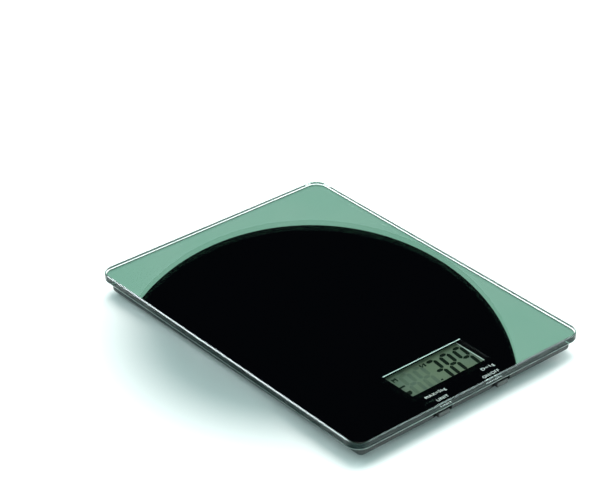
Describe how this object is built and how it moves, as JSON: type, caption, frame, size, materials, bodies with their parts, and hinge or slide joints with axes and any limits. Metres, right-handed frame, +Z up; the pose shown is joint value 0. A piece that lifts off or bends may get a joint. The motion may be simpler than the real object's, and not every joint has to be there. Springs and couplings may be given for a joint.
{
  "type": "kitchen scale",
  "caption": "Slim electronic kitchen scale: glass platform on a shallow plastic base, display and two edge buttons at the front, load cells in the feet.",
  "frame": {"origin": "on the supporting surface, under the middle of the glass platform", "axes": "+X to the right along the front edge, +Y from the display towards the back, +Z up"},
  "size_m": [0.15, 0.202, 0.0142],
  "materials": {
    "glass": "clear 4 mm plate with a dark mirror-like print under it",
    "tape": "black double-sided tape",
    "black_plastic": "fine satin texture",
    "cell_steel": "brushed can",
    "nickel": "plated strip",
    "circuit_board": "green solder mask",
    "epoxy": "glossy black drop",
    "crystal_can": "drawn metal can",
    "capacitor_sleeve": "printed sleeve",
    "display": "olive display glass",
    "foam": "closed-cell foam",
    "frame_plastic": "moulded",
    "zebra_rubber": "striped elastomer",
    "button_plastic": "satin",
    "switch_can": "stamped can",
    "plunger_plastic": "moulded",
    "black_insulation": "wire insulation",
    "red_insulation": "wire insulation",
    "screw_steel": "zinc plated",
    "spring_steel": "nickel-plated spring steel",
    "holder_plastic": "moulded",
    "sealant": "silicone bead",
    "foot_plastic": "moulded",
    "pad_rubber": "ribbed rubber",
    "white_insulation": "wire insulation"
  },
  "bodies": {
    "scale": {"glass_platform": "glass", "glass_adhesive": "tape", "base_cover": "black_plastic", "coin_cell": "cell_steel", "battery_contact_negative": "nickel", "battery_contact_positive": "nickel", "main_board": "circuit_board", "controller_chip": "epoxy", "clock_crystal": "crystal_can", "filter_capacitor": "capacitor_sleeve", "lcd_panel": "display", "lcd_gasket": "foam", "lcd_frame": "frame_plastic", "zebra_strip": "zebra_rubber", "unit_switch": "switch_can", "power_switch": "switch_can", "battery_lead_negative": "black_insulation", "battery_lead_positive": "red_insulation", "board_screw_1": "screw_steel", "board_screw_2": "screw_steel", "board_screw_3": "screw_steel", "board_screw_4": "screw_steel", "load_sensor_front_left": "spring_steel", "sensor_holder_front_left": "holder_plastic", "strain_gauge_front_left": "sealant", "sensor_lead_front_left": "white_insulation", "load_sensor_front_right": "spring_steel", "sensor_holder_front_right": "holder_plastic", "strain_gauge_front_right": "sealant", "sensor_lead_front_right": "white_insulation", "load_sensor_back_left": "spring_steel", "sensor_holder_back_left": "holder_plastic", "strain_gauge_back_left": "sealant", "sensor_lead_back_left": "white_insulation", "load_sensor_back_right": "spring_steel", "sensor_holder_back_right": "holder_plastic", "strain_gauge_back_right": "sealant", "sensor_lead_back_right": "white_insulation"},
    "unit_key": {"unit_button": "button_plastic", "unit_plunger": "plunger_plastic"},
    "power_key": {"power_button": "button_plastic", "power_plunger": "plunger_plastic"},
    "door": {"battery_door": "black_plastic"},
    "foot_assembly_front_left": {"foot_front_left": "foot_plastic", "foot_pad_front_left": "pad_rubber"},
    "foot_assembly_front_right": {"foot_front_right": "foot_plastic", "foot_pad_front_right": "pad_rubber"},
    "foot_assembly_back_left": {"foot_back_left": "foot_plastic", "foot_pad_back_left": "pad_rubber"},
    "foot_assembly_back_right": {"foot_back_right": "foot_plastic", "foot_pad_back_right": "pad_rubber"}
  },
  "joints": [
    {"name": "unit_press", "type": "slide", "parent": "scale", "child": "unit_key", "axis": [0, 1, 0], "range_m": [0, 0.0005], "stiffness_N_per_m": 1200, "springref_m": -0.0005},
    {"name": "power_press", "type": "slide", "parent": "scale", "child": "power_key", "axis": [0, 1, 0], "range_m": [0, 0.0005], "stiffness_N_per_m": 1200, "springref_m": -0.0005},
    {"name": "battery_door_hinge", "type": "hinge", "parent": "scale", "child": "door", "pos_m": [0, 0.04718, 0.00199], "axis": [1, 0, 0], "range_deg": [0, 80]},
    {"name": "foot_give_front_left", "type": "slide", "parent": "scale", "child": "foot_assembly_front_left", "axis": [0, 0, 1], "range_m": [0, 0.0003], "stiffness_N_per_m": 45000, "springref_m": -0.0001},
    {"name": "foot_give_front_right", "type": "slide", "parent": "scale", "child": "foot_assembly_front_right", "axis": [0, 0, 1], "range_m": [0, 0.0003], "stiffness_N_per_m": 45000, "springref_m": -0.0001},
    {"name": "foot_give_back_left", "type": "slide", "parent": "scale", "child": "foot_assembly_back_left", "axis": [0, 0, 1], "range_m": [0, 0.0003], "stiffness_N_per_m": 45000, "springref_m": -0.0001},
    {"name": "foot_give_back_right", "type": "slide", "parent": "scale", "child": "foot_assembly_back_right", "axis": [0, 0, 1], "range_m": [0, 0.0003], "stiffness_N_per_m": 45000, "springref_m": -0.0001}
  ]
}
